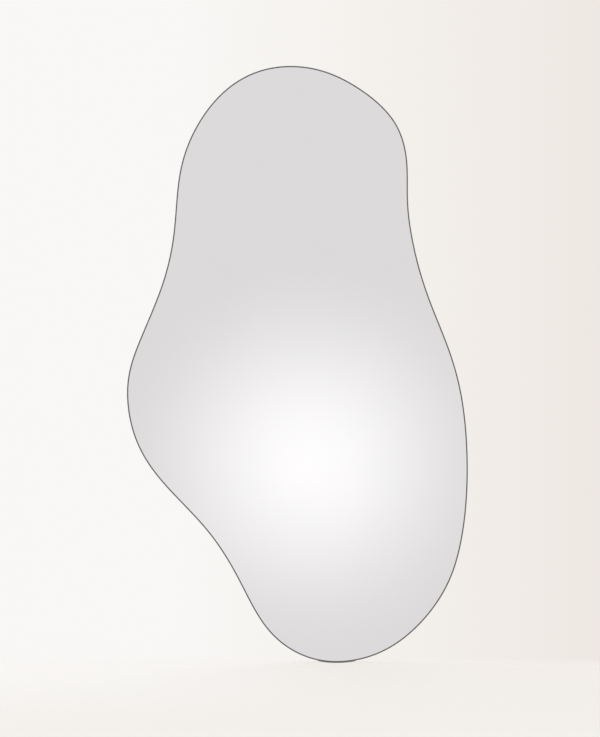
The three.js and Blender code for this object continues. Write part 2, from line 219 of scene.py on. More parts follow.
def to_mesh(name, verts, faces, smooth=True):
    mesh = bpy.data.meshes.new(name)
    mesh.from_pydata([tuple(v) for v in verts], [], faces)
    edit = bmesh.new()
    edit.from_mesh(mesh)
    bmesh.ops.recalc_face_normals(edit, faces=edit.faces)
    edit.to_mesh(mesh)
    edit.free()
    for polygon in mesh.polygons:
        polygon.use_smooth = smooth
    return mesh


def add_piece(name, mesh, material, body, slot, *nodes):
    """Puts a mesh in the scene as a piece that rides on a body and stands for CAD nodes."""
    piece = bpy.data.objects.new(name, mesh)
    bpy.context.scene.collection.objects.link(piece)
    mesh.materials.append(material)
    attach(piece, body)
    if nodes:
        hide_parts(*nodes)
    return piece


def apply_modifier(mesh, kind, settings):
    """Runs a modifier on a mesh and gives back the result."""
    holder = bpy.data.objects.new("holder", mesh)
    bpy.context.scene.collection.objects.link(holder)
    modifier = holder.modifiers.new(kind, kind)
    for key, value in settings.items():
        setattr(modifier, key, value)
    bpy.context.view_layer.update()
    evaluated = holder.evaluated_get(bpy.context.evaluated_depsgraph_get())
    result = bpy.data.meshes.new_from_object(evaluated)
    bpy.data.objects.remove(holder)
    return result


def bevelled(mesh, width):
    settings = {"width": width, "segments": 2, "limit_method": "ANGLE",
                "angle_limit": math.radians(35), "harden_normals": False}
    result = apply_modifier(mesh, "BEVEL", settings)
    drop_slivers(result)
    return result


def cut_with(mesh, cutter_mesh):
    cutter = bpy.data.objects.new("cutter", cutter_mesh)
    bpy.context.scene.collection.objects.link(cutter)
    settings = {"operation": "DIFFERENCE", "object": cutter, "solver": "EXACT"}
    result = apply_modifier(mesh, "BOOLEAN", settings)
    bpy.data.objects.remove(cutter)
    return result


def drop_slivers(mesh):
    """Merges away the edges and faces of no size that a bevel or a cut can leave."""
    edit = bmesh.new()
    edit.from_mesh(mesh)
    shortest = 0.001 * MM
    bmesh.ops.dissolve_degenerate(edit, dist=shortest, edges=edit.edges)
    edit.to_mesh(mesh)
    edit.free()


def smooth_by_angle(mesh, degrees=35):
    mesh.shade_smooth()
    mesh.set_sharp_from_angle(angle=math.radians(degrees))


def rounded_corners(corners, radius, segments=3):
    """Replaces each corner of a closed polygon by a small arc. Corners are (u, v) pairs."""
    rounded = []
    for i, corner in enumerate(corners):
        here = Vector(corner)
        to_last = (Vector(corners[i - 1]) - here).normalized()
        to_next = (Vector(corners[(i + 1) % len(corners)]) - here).normalized()
        start, end = here + to_last * radius, here + to_next * radius
        centre = here + (to_last + to_next) * radius
        for step in range(segments + 1):
            arm = (start - centre).lerp(end - centre, step / segments).normalized() * radius
            rounded.append(tuple(centre + arm))
    return rounded


def loft_faces(size, rings, closed=False):
    """The faces that join loops of `size` corners, with a cap on both ends unless it is closed."""
    faces = []
    for k in range(rings if closed else rings - 1):
        here, there = k * size, ((k + 1) % rings) * size
        for i in range(size):
            j = (i + 1) % size
            faces.append((here + i, here + j, there + j, there + i))
    if not closed:
        faces.append(tuple(range(size)))
        faces.append(tuple(range((rings - 1) * size, rings * size)))
    return faces


def sweep(name, places, section_at, closed=False):
    """A body along the outline. section_at(k) gives the (inset, depth) loop at the k-th place."""
    verts = []
    for k, place in enumerate(places):
        section = np.array(section_at(k))
        flat = outline.at(np.full(len(section), place), section[:, 0])
        verts += [(x, -depth, z) for (x, z), depth in zip(flat, section[:, 1])]
    return to_mesh(name, verts, loft_faces(len(section_at(0)), len(places), closed))


def plate(name, levels):
    """A full plate inside the outline. `levels` are (inset, depth) pairs from its back to its front."""
    verts = []
    for inset, depth in levels:
        verts += [(x, -depth, z) for x, z in outline.at(FINE_PLACES, np.full(FINE_STEPS, inset))]
    mesh = to_mesh(name, verts, loft_faces(FINE_STEPS, len(levels)))
    smooth_by_angle(mesh, 30)
    return mesh


def revolve(name, profile, x, z, segments=48):
    """A body turned about an axis along Y through (x, z). `profile` holds (radius, depth) pairs, and is
    closed on itself, or starts and ends on the axis."""
    verts, rings = [], []
    for radius, depth in profile:
        if radius == 0:
            rings.append([len(verts)])
            verts.append((x, -depth, z))
            continue
        rings.append(list(range(len(verts), len(verts) + segments)))
        for k in range(segments):
            turn = 2 * math.pi * k / segments
            verts.append((x + radius * math.cos(turn), -depth, z + radius * math.sin(turn)))
    on_axis = len(rings[0]) == 1
    faces = []
    for i in range(len(rings) - 1 if on_axis else len(rings)):
        first, second = rings[i], rings[(i + 1) % len(rings)]
        for k in range(segments):
            j = (k + 1) % segments
            a, b = first[k % len(first)], first[j % len(first)]
            c, d = second[j % len(second)], second[k % len(second)]
            faces.append(tuple(dict.fromkeys((a, b, c, d))))
    mesh = to_mesh(name, verts, faces)
    smooth_by_angle(mesh)
    return mesh


# ------------------------------------------------------------------------------------------- materials

def linear(red, green, blue):
    """An sRGB colour of 0 to 255 as the linear one that shaders take."""
    def channel(value):
        value /= 255
        return value / 12.92 if value <= 0.04045 else ((value + 0.055) / 1.055) ** 2.4
    return (channel(red), channel(green), channel(blue), 1)


class NodeTree:
    """Short ways to add the nodes that the materials and the world share. A value may be a socket."""

    def __init__(self, owner):
        owner.use_nodes = True
        self.tree = owner.node_tree

    def node(self, kind, inputs=(), **settings):
        node = self.tree.nodes.new(kind)
        for key, value in settings.items():
            setattr(node, key, value)
        for socket, value in dict(inputs).items():
            if isinstance(value, bpy.types.NodeSocket):
                self.tree.links.new(value, node.inputs[socket])
            else:
                node.inputs[socket].default_value = value
        return node

    def math(self, operation, *values):
        return self.node("ShaderNodeMath", enumerate(values), operation=operation).outputs[0]

    def ramp(self, value, low, high):
        """A smooth step from 0 at `low` to 1 at `high`."""
        inputs = {"Value": value, "From Min": low, "From Max": high, "To Min": 0.0, "To Max": 1.0}
        return self.node("ShaderNodeMapRange", inputs, interpolation_type="SMOOTHSTEP").outputs["Result"]

    def rerange(self, value, low, high, to_low=0.0, to_high=1.0):
        """An even climb from `to_low` at `low` to `to_high` at `high`, held beyond them."""
        inputs = {"Value": value, "From Min": low, "From Max": high, "To Min": to_low, "To Max": to_high}
        return self.node("ShaderNodeMapRange", inputs).outputs["Result"]

    def mix(self, factor, first, second):
        """One colour at factor 0, the other at 1. The node's colour sockets are its numbers 6 and 7."""
        return self.node("ShaderNodeMix", {0: factor, 6: first, 7: second}, data_type="RGBA").outputs[2]


class Finish(NodeTree):
    """A node material: a Principled shader and the textures that feed it, in the part's own metres."""

    def __init__(self, name, **sockets):
        self.material = bpy.data.materials.new(name)
        super().__init__(self.material)
        self.shader = self.tree.nodes["Principled BSDF"]
        self.place = self.node("ShaderNodeTexCoord").outputs["Object"]
        for key, value in sockets.items():
            socket = key.replace("_", " ").title().replace("Ior", "IOR")
            self.shader.inputs[socket].default_value = value

    def noise(self, size, detail=2, stretch=(1, 1, 1), roughness=0.5, distortion=0):
        """Noise with features of about `size` metres, drawn out along the axes by `stretch`."""
        squeeze = tuple(1 / s for s in stretch)
        place = self.node("ShaderNodeMapping", {"Vector": self.place, "Scale": squeeze}).outputs["Vector"]
        inputs = {"Vector": place, "Scale": 1 / size, "Detail": detail, "Roughness": roughness,
                  "Distortion": distortion}
        return self.node("ShaderNodeTexNoise", inputs).outputs["Fac"]

    def spots(self, size, threshold, softness=0.1):
        """1 in small cells of about `size` metres whose noise passes a threshold, and 0 elsewhere."""
        return self.rerange(self.noise(size, 3), threshold, threshold + softness)

    def drive(self, socket, value):
        self.tree.links.new(value, self.shader.inputs[socket])

    def bump(self, height, distance):
        inputs = {"Height": height, "Distance": distance, "Strength": 1.0}
        self.drive("Normal", self.node("ShaderNodeBump", inputs).outputs["Normal"])


def silvered_glass():
    """Float glass silvered on its back: near-perfect, with the faint haze and wave of a real sheet."""
    finish = Finish("silvered_glass", metallic=1, coat_weight=0.35, coat_roughness=0.004, coat_ior=1.52)
    haze = finish.noise(0.16, 4, roughness=0.55)
    finish.drive("Base Color", finish.mix(haze, linear(248, 249, 248), linear(251, 251, 250)))
    finish.drive("Roughness", finish.rerange(haze, 0.3, 0.75, 0.004, 0.022))
    finish.bump(finish.noise(0.35, 1), 0.00002)
    return finish.material


def glass_edge():
    """The seamed edge of the sheet: grey-green, with the fine marks of the grinding belt."""
    finish = Finish("glass_edge", coat_weight=0.4, coat_roughness=0.15)
    marks = finish.noise(0.0012, 3)
    finish.drive("Base Color", finish.mix(marks, linear(118, 138, 131), linear(158, 175, 168)))
    finish.drive("Roughness", finish.rerange(marks, 0.3, 0.7, 0.22, 0.42))
    finish.bump(marks, 0.00003)
    return finish.material


def graphite_coat():
    """Satin graphite powder coat with a fine orange peel and a few pale specks."""
    finish = Finish("graphite_coat", metallic=0.25, ior=1.5)
    cloud = finish.noise(0.05, 3)
    speck = finish.spots(0.0006, 0.68, 0.08)
    body = finish.mix(cloud, linear(103, 102, 100), linear(113, 112, 109))
    finish.drive("Base Color", finish.mix(speck, body, linear(134, 133, 130)))
    peel = finish.noise(0.0011, 2)
    finish.drive("Roughness", finish.rerange(peel, 0.3, 0.7, 0.36, 0.5))
    finish.bump(finish.math("MULTIPLY_ADD", peel, 0.8, finish.noise(0.0004, 2)), 0.00006)
    return finish.material


def fibreboard():
    """Raw medium-density fibreboard: fine felted fibres, faint clouds and a few darker flecks."""
    finish = Finish("fibreboard", specular_ior_level=0.25)
    cloud = finish.noise(0.09, 4, roughness=0.6)
    fibre = finish.noise(0.0014, 6, stretch=(1, 1, 1.7), roughness=0.72, distortion=1.6)
    crossing = finish.noise(0.0019, 6, stretch=(1.7, 1, 1), roughness=0.72, distortion=1.6)
    fleck = finish.spots(0.0035, 0.64, 0.08)
    tone = finish.mix(finish.rerange(fibre, 0.3, 0.7), linear(158, 129, 97), linear(190, 161, 126))
    tone = finish.mix(finish.rerange(crossing, 0.35, 0.75, 0, 0.6), tone, linear(198, 171, 137))
    tone = finish.mix(finish.rerange(cloud, 0.35, 0.7, 0, 0.5), tone, linear(170, 139, 105))
    tone = finish.mix(finish.math("MULTIPLY", fleck, 0.45), tone, linear(118, 90, 63))
    finish.drive("Base Color", tone)
    finish.drive("Roughness", finish.rerange(fibre, 0.3, 0.7, 0.72, 0.92))
    finish.bump(finish.math("MULTIPLY_ADD", fibre, 0.7, crossing), 0.00012)
    return finish.material


def extruded_aluminium():
    """Mill-finish aluminium with die lines along the rail."""
    finish = Finish("extruded_aluminium", metallic=1, anisotropic=0.35)
    lines = finish.noise(0.0006, 4, stretch=(400, 1, 1), roughness=0.65)
    stain = finish.noise(0.03, 3, stretch=(3, 1, 1))
    tone = finish.mix(finish.rerange(lines, 0.3, 0.7), linear(158, 160, 163), linear(190, 192, 194))
    stain = finish.rerange(stain, 0.45, 0.75, 0, 0.35)
    finish.drive("Base Color", finish.mix(stain, tone, linear(150, 151, 152)))
    finish.drive("Roughness", finish.rerange(lines, 0.3, 0.7, 0.26, 0.44))
    finish.bump(lines, 0.00003)
    return finish.material


def sawn_aluminium():
    """A rail's end as the saw leaves it: fine upright marks, duller than the faces."""
    finish = Finish("sawn_aluminium", metallic=1)
    marks = finish.noise(0.00018, 3, stretch=(1, 1, 12))
    finish.drive("Base Color", finish.mix(marks, linear(164, 166, 169), linear(178, 180, 183)))
    finish.drive("Roughness", finish.rerange(marks, 0.3, 0.7, 0.5, 0.62))
    finish.bump(marks, 0.00001)
    return finish.material


def zinc_plate():
    """Bright zinc on a screw, with a faint warm and cool cast."""
    finish = Finish("zinc_plate", metallic=1)
    cast = finish.noise(0.004, 3)
    finish.drive("Base Color", finish.mix(cast, linear(212, 205, 186), linear(202, 210, 220)))
    grain = finish.noise(0.0005, 3)
    finish.drive("Roughness", finish.rerange(grain, 0.3, 0.7, 0.22, 0.38))
    finish.bump(grain, 0.00002)
    return finish.material


def moulded_rubber(name, dark, light, grain_size):
    """Matt rubber with the fine grain of its mould and a faint bloom."""
    finish = Finish(name, specular_ior_level=0.35, sheen_weight=0.12, sheen_roughness=0.5)
    bloom = finish.noise(0.012, 4, roughness=0.6)
    grain = finish.noise(grain_size, 3)
    finish.drive("Base Color", finish.mix(finish.rerange(bloom, 0.4, 0.75), dark, light))
    finish.drive("Roughness", finish.rerange(grain, 0.3, 0.7, 0.62, 0.82))
    finish.bump(grain, 0.00005)
    return finish.material


def thin_layer(name, dark, light, grain_size, roughness, stretch=(1, 1, 1), metallic=0.0):
    """Films, tape and adhesive that show only as thin lines at an edge."""
    finish = Finish(name, metallic=metallic)
    grain = finish.noise(grain_size, 4, stretch=stretch)
    finish.drive("Base Color", finish.mix(finish.rerange(grain, 0.3, 0.7), dark, light))
    finish.drive("Roughness", finish.rerange(grain, 0.3, 0.7, roughness - 0.08, roughness + 0.08))
    finish.bump(grain, 0.00004)
    return finish.material


MIRROR = silvered_glass()
EDGE = glass_edge()
GRAPHITE = graphite_coat()
FIBREBOARD = fibreboard()
ALUMINIUM = extruded_aluminium()
SAWN = sawn_aluminium()
ZINC = zinc_plate()
BUMPER_RUBBER = moulded_rubber("bumper_rubber", linear(38, 38, 39), linear(52, 52, 52), grain_size=0.0006)
PAD_RUBBER = moulded_rubber("pad_rubber", linear(128, 126, 123), linear(142, 140, 137), grain_size=0.0009)
COATING_PAINT = thin_layer("coating_paint", linear(120, 122, 126), linear(150, 152, 155),
                           grain_size=0.002, roughness=0.45, metallic=0.5)
BACKING_FILM = thin_layer("backing_film", linear(134, 146, 158), linear(160, 170, 180),
                          grain_size=0.001, roughness=0.5, stretch=(1, 1, 8))
FOAM_TAPE = thin_layer("foam_tape", linear(226, 224, 218), linear(244, 243, 238),
                       grain_size=0.0005, roughness=0.85)
SEAL = thin_layer("seal", linear(112, 112, 110), linear(128, 128, 126), grain_size=0.004, roughness=0.4)
SILICONE = thin_layer("silicone", linear(196, 199, 199), linear(216, 218, 218),
                      grain_size=0.004, roughness=0.4)


# --------------------------------------------------------------------------------- band, glass and panel

def build_band():
    corners = [(0, BAND.back), (0, BAND.front), (BAND_WALL, BAND.front), (BAND_WALL, BAND.back)]
    section = rounded_corners(corners, BAND_ROUNDING)
    mesh = sweep("frame_band_rolled", FINE_PLACES, lambda k: section, closed=True)
    smooth_by_angle(mesh, 40)
    add_piece("frame_band_rolled", mesh, GRAPHITE, "mirror", "band_graphite", "frame_band")


def build_glass():
    edge = inset_of(GLASS)
    mesh = plate("mirror_sheet", [
        (edge + GLASS_ARRIS, GLASS.back),
        (edge, GLASS.back + GLASS_ARRIS),
        (edge, GLASS.front - GLASS_ARRIS),
        (edge + GLASS_ARRIS, GLASS.front),
    ])
    piece = add_piece("mirror_sheet", mesh, MIRROR, "mirror", "mirror_glass", "mirror_glass")
    piece.data.materials.append(EDGE)
    for polygon in mesh.polygons:
        polygon.material_index = 0 if polygon.center.y < -(GLASS.front - GLASS_ARRIS / 10) else 1


def build_panel():
    edge = inset_of(PANEL)
    mesh = plate("fibreboard_panel", [
        (edge + PANEL_CHAMFER, PANEL.back),
        (edge, PANEL.back + PANEL_CHAMFER),
        (edge, PANEL.front - PANEL_CHAMFER),
        (edge + PANEL_CHAMFER, PANEL.front),
    ])
    add_piece("fibreboard_panel", mesh, FIBREBOARD, "mirror", "panel_fibreboard", "back_panel")


def build_edge_seal():
    """The bead of silicone that closes the gap between sheet and band, hollowed a little at the back."""
    sheet, panel = inset_of(GLASS), inset_of(PANEL)
    overlap, hollow = 0.02 * MM, 0.35 * MM
    back, front = PANEL.front + 0.2 * MM, GLASS.front - 1.6 * MM
    section = [
        (BAND_WALL - overlap, front),
        (sheet + overlap, front),
        (sheet + overlap, GLASS.back),
        (panel + overlap, GLASS.back),
        (panel + overlap, back),
    ]
    for share in (0.8, 0.5, 0.2):
        inset = BAND_WALL + share * (panel - BAND_WALL)
        section.append((inset, back + hollow * math.sin(share * math.pi)))
    section.append((BAND_WALL - overlap, back - 0.3 * MM))
    mesh = sweep("edge_seal", FINE_PLACES, lambda k: section, closed=True)
    smooth_by_angle(mesh, 40)
    add_piece("edge_seal", mesh, SEAL, "mirror", "silicone_adhesive")


def build_foot_pad():
    """A strip that follows the band, thinned to a slope at both ends."""
    steps = 72
    first, last = (outline.nearest(x, BAND.bottom, 0) for x in (PAD.left, PAD.right))
    places = np.linspace(first, last, steps + 1)
    gap = BAND.bottom - outline.at(FOOT_PLACE, 0)[1]
    thickness = BAND.bottom - PAD.bottom + gap
    length = (last - first) * CORNER_SPACING

    def section(k):
        from_end = min(k, steps - k) / steps * length
        rise = min(from_end / PAD_SLOPE, 1)
        share = PAD_TIP_SHARE + (1 - PAD_TIP_SHARE) * rise * (2 - rise)
        under = -thickness * share
        corners = [(0, PAD.back), (0, PAD.front), (under, PAD.front), (under, PAD.back)]
        return rounded_corners(corners, PAD_ROUNDING * share)

    mesh = sweep("foot_pad_strip", places, section)
    smooth_by_angle(mesh, 50)
    add_piece("foot_pad_strip", mesh, PAD_RUBBER, "mirror", "pad_rubber", "foot_pad")


# ---------------------------------------------------------------------------------------- lugs and welds

def build_lug(number):
    """An angle tab: a leg on the band, a small inner bend, and a tab with a round end on the panel."""
    box = node_box(f"frame_lug_{number}")
    screw = node_box(f"lug_screw_{number}")
    near = BAND_WALL + SEAT_GAP
    hole_inset = BAND_WALL + LUG_HOLE_FROM_BAND
    steps = 20
    middle = outline.nearest(screw.x, screw.z, hole_inset)
    turns = np.linspace(-math.pi / 2, math.pi / 2, steps + 1)
    places = middle + LUG_HALF_WIDTH * np.sin(turns) / CORNER_SPACING
    tab_back = box.front - LUG_WALL

    def section(k):
        least = 0.02  # of the half width, so that the tab's two ends have some length
        reach = hole_inset + LUG_HALF_WIDTH * max(math.cos(turns[k]), least)
        inner = near + LUG_WALL
        bend_points = [
            (inner + LUG_BEND * (1 - math.cos(t)), tab_back - LUG_BEND * (1 - math.sin(t)))
            for t in np.linspace(0, math.pi / 2, 5)
        ]
        return [(near, box.front), (near, box.back), (inner, box.back), *bend_points,
                (reach, tab_back), (reach, box.front)]

    mesh = bevelled(sweep("lug", places, section), LUG_ROUNDING)
    smooth_by_angle(mesh, 40)
    name = f"angle_lug_{number}"
    mesh.name = name
    add_piece(name, mesh, GRAPHITE, "mirror", "band_graphite", f"frame_lug_{number}")
    build_weld(f"lug_weld_{number}", middle, near - 0.1 * MM, box.back + 0.2 * MM)


def build_weld(name, middle, inset, depth):
    """A weld bead along the band: a flattened round with the ripples of the pool."""
    steps, sides = 48, 12
    flatness, ripple_height = 0.8, 0.13
    places = middle + np.linspace(-WELD_HALF_LENGTH, WELD_HALF_LENGTH, steps + 1) / CORNER_SPACING

    def section(k):
        share = k / steps
        taper = math.sqrt(max(1 - (2 * share - 1) ** 6, 0.02))
        ripple = 1 + ripple_height * abs(math.sin(math.pi * WELD_RIPPLES * share))
        size = WELD_RADIUS * taper * ripple
        return [
            (inset + size * math.cos(turn), depth + flatness * size * math.sin(turn))
            for turn in np.linspace(0, 2 * math.pi, sides, endpoint=False)
        ]

    mesh = sweep(name, places, section)
    smooth_by_angle(mesh, 60)
    add_piece(name, mesh, GRAPHITE, "mirror", "band_graphite")


def build_butt_weld():
    """The seam where the two ends of the band meet, ground flat outside and left as a bead inside."""
    steps, buried = 10, BAND_WALL - 0.3 * MM
    half = BUTT_WELD_HALF_WIDTH
    places = FOOT_PLACE + np.linspace(-half, half, steps + 1) / CORNER_SPACING
    back, front = BAND.back + 2 * BAND_ROUNDING, PANEL.back - SEAT_GAP

    def section(k):
        crown = BAND_WALL + BUTT_WELD_HEIGHT * math.cos((k / steps - 0.5) * math.pi) + 0.02 * MM
        return [(buried, back), (crown, back), (crown, front), (buried, front)]

    mesh = sweep("butt_weld", places, section)
    smooth_by_angle(mesh, 30)
    add_piece("butt_weld", mesh, GRAPHITE, "mirror", "band_graphite")


# ---------------------------------------------------------------------------------------------- screws

def cross_recess(x, z, crown, turn):
    """The tapered cross of a screwdriver's socket, as one closed cutter that starts clear of the head."""
    reach, half_width = RECESS_REACH, RECESS_HALF_WIDTH
    verts = []
    for level, scale in ((crown - 0.6 * MM, 1.2), (crown + RECESS_DEPTH, 0.35)):
        for arm in range(4):
            angle = turn + arm * math.pi / 2
            along = Vector((math.cos(angle), math.sin(angle))) * scale
            across = Vector((-math.sin(angle), math.cos(angle))) * scale
            for a, b in ((half_width, -half_width), (reach, -half_width), (reach, half_width)):
                corner = along * a + across * b
                verts.append((x + corner.x, -level, z + corner.y))
    return to_mesh("recess", verts, loft_faces(len(verts) // 2, 2), smooth=False)


def build_screw(node, turn):
    """A pan-head wood screw: domed head with a cross recess, and its shank in the panel."""
    box = node_box(node)
    radius = box.width / 2
    under = box.back + SCREW_HEAD_HEIGHT + SEAT_GAP
    dome_turn, dome_height, rim_break = 1.2, 0.62 * SCREW_HEAD_HEIGHT, 0.15 * MM
    dome = [
        (radius * math.sin(t), box.back + dome_height * (1 - math.cos(t)) / (1 - math.cos(dome_turn)))
        for t in np.linspace(0, dome_turn, 7)
    ]
    rim = [
        (radius, box.back + 0.72 * SCREW_HEAD_HEIGHT),
        (radius, under - rim_break),
        (radius - rim_break, under),
    ]
    shank = [(SCREW_SHANK_RADIUS, under), (SCREW_SHANK_RADIUS, box.front - SCREW_TIP_LENGTH)]
    profile = [*dome, *rim, *shank, (0, box.front)]
    mesh = revolve("screw", profile, box.x, box.z, 32)
    mesh = cut_with(mesh, cross_recess(box.x, box.z, box.back, turn))
    drop_slivers(mesh)
    smooth_by_angle(mesh, 35)
    name = f"pan_head_{node}"
    mesh.name = name
    mesh.materials.clear()
    add_piece(name, mesh, ZINC, "mirror", "screw_zinc", node)


# ------------------------------------------------------------------------------------ rails and bumpers

def rail_mesh(name, section, length):
    """An extruded bar along X. `section` holds (depth, height) pairs."""
    stations = (-0.5, 0, 0.5)
    verts = [(share * length, -depth, height) for share in stations for depth, height in section]
    return to_mesh(name, verts, loft_faces(len(section), len(stations)), smooth=False)


def saw_ends(piece, length):
    """Gives the two end faces the look of a saw cut."""
    piece.data.materials.append(SAWN)
    for polygon in piece.data.polygons:
        if abs(polygon.center.x) > 0.499 * length:
            polygon.material_index = 1


def z_section(flange_back, hook_back, hook_front, flange_end, web_top, hook_top, up):
    """The rail's Z as (depth, height) pairs. `up` is 1 for the wall's rail and -1 for the turned one."""
    inner = RAIL_WALL * (1 if hook_back > flange_back else -1)
    corners = [
        (flange_back, flange_end),
        (flange_back + inner, flange_end),
        (flange_back + inner, web_top - up * RAIL_WALL),
        (hook_front, web_top - up * RAIL_WALL),
        (hook_front, hook_top),
        (hook_back, hook_top),
        (hook_back, web_top),
        (flange_back, web_top),
    ]
    return rounded_corners(corners, RAIL_ROUNDING)


def slot_cutter(x, back, front):
    """A level slot with round ends, at height 0, as a cutter."""
    reach, radius, steps = (SLOT_LENGTH - SLOT_WIDTH) / 2, SLOT_WIDTH / 2, 12
    loop = [
        (x + reach * side + radius * math.cos(turn), radius * math.sin(turn))
        for side, start in ((1, -math.pi / 2), (-1, math.pi / 2))
        for turn in (start + math.pi * k / steps for k in range(steps + 1))
    ]
    verts = [(px, -depth, pz) for depth in (back, front) for px, pz in loop]
    return to_mesh("slot", verts, loft_faces(len(loop), 2), smooth=False)


def build_wall_rail():
    web_top = WALL.bottom + RAIL_FLANGE
    hook_back = WALL.front - RAIL_WALL
    section = z_section(WALL.back, hook_back, WALL.front, WALL.bottom, web_top, WALL.top, 1)
    mesh = rail_mesh("rail", section, WALL.width)
    reach = WALL.width / 2 - SLOT_FROM_END
    for share in (-1, -1 / 3, 1 / 3, 1):
        mesh = cut_with(mesh, slot_cutter(share * reach, -RAIL_WALL, 2 * RAIL_WALL))
    mesh.materials.clear()
    smooth_by_angle(mesh, 30)
    mesh.name = "wall_rail_extrusion"
    piece = add_piece("wall_rail_extrusion", mesh, ALUMINIUM, "wall_mount", "rail_aluminium", "wall_rail")
    saw_ends(piece, WALL.width)


def build_hanging_rail():
    web_bottom = HANGING.top - RAIL_FLANGE
    hook_front = HANGING.back + RAIL_WALL
    section = z_section(
        HANGING.front, hook_front, HANGING.back, HANGING.top, web_bottom, HANGING.bottom, -1)
    mesh = rail_mesh("hanging_rail_extrusion", section, HANGING.width)
    smooth_by_angle(mesh, 30)
    piece = add_piece(
        "hanging_rail_extrusion", mesh, ALUMINIUM, "mirror", "rail_aluminium", "hanging_rail")
    saw_ends(piece, HANGING.width)


def build_bumper(side):
    """A tapered rubber spacer with a bore for the screw's head, its narrow end on the wall."""
    box = node_box(f"wall_bumper_{side}")
    outer = box.width / 2
    foot = outer - BUMPER_DRAFT
    seat = box.front - BUMPER_FLOOR
    edge = [
        (foot - BUMPER_EDGE * (1 - math.sin(t)), BUMPER_EDGE * (1 - math.cos(t)))
        for t in np.linspace(0, math.pi / 2, 6)
    ]
    panel_end = [(outer, box.front - BUMPER_BREAK), (outer - BUMPER_BREAK, box.front)]
    bore = [(BUMPER_HOLE, box.front), (BUMPER_HOLE, seat), (BUMPER_BORE, seat)]
    lip = [(BUMPER_BORE, BUMPER_LIP), (BUMPER_BORE + BUMPER_LIP, 0)]
    profile = [*edge, *panel_end, *bore, *lip]
    mesh = revolve("bumper", profile, box.x, box.z)
    name = f"moulded_bumper_{side}"
    mesh.name = name
    add_piece(name, mesh, BUMPER_RUBBER, "mirror", "bumper_rubber", f"wall_bumper_{side}")


# ------------------------------------------------------------------------------------ kept CAD solids

def dress_kept_nodes():
    """The sealed layers keep their CAD solids and get their own finish."""
    finishes = {
        "silver_coating": COATING_PAINT,
        "safety_film": BACKING_FILM,
        "tape_strip": FOAM_TAPE,
        "adhesive_bead": SILICONE,
    }
    for name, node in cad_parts.items():
        for prefix, material in finishes.items():
            if name.startswith(prefix):
                node.data.materials.clear()
                node.data.materials.append(material)


# --------------------------------------------------------------------------------- camera, world, floor

PIXEL = BAND.width / OUTLINE_WIDTH_PX
CAMERA_DISTANCE = 4.5
VIEW_X = BAND.x + (IMAGE_WIDTH / 2 - OUTLINE_CENTRE_PX[0]) * PIXEL
VIEW_Z = BAND.z - (IMAGE_HEIGHT / 2 - OUTLINE_CENTRE_PX[1]) * PIXEL


def add_camera():
    data = bpy.data.cameras.new("camera")
    data.sensor_width = 36
    data.lens = data.sensor_width * CAMERA_DISTANCE / (IMAGE_HEIGHT * PIXEL)
    data.clip_end = 50
    camera = bpy.data.objects.new("camera", data)
    camera.location = (VIEW_X, -BAND.front - CAMERA_DISTANCE, VIEW_Z)
    camera.rotation_euler = (math.pi / 2, 0, 0)
    bpy.context.scene.collection.objects.link(camera)
    bpy.context.scene.camera = camera


# The floor's colours: paler on the left, darker to the right and nearer the camera. On the floor object
# they are painted shade, a fall-off of light painted into its colour. In the world they are its light.
FLOOR_LEFT = linear(248, 246, 243.4)
FLOOR_RIGHT_SHADED = linear(242, 238, 234)
FLOOR_NEAR_SHADED = linear(242.4, 240.1, 236.6)
WALL_LEFT = linear(249, 247.4, 245.6)
WALL_RIGHT = linear(238, 232, 226)
OVERHEAD = (0.98, 0.97, 0.96, 1)


def slope_across(pixel):
    """Sideways over forwards, for the camera's ray through this column of the photo."""
    return (pixel - IMAGE_WIDTH / 2) * PIXEL / CAMERA_DISTANCE


def slope_up(pixel):
    """Upwards over forwards, for the camera's ray through this row of the photo."""
    return (IMAGE_HEIGHT / 2 - pixel) * PIXEL / CAMERA_DISTANCE


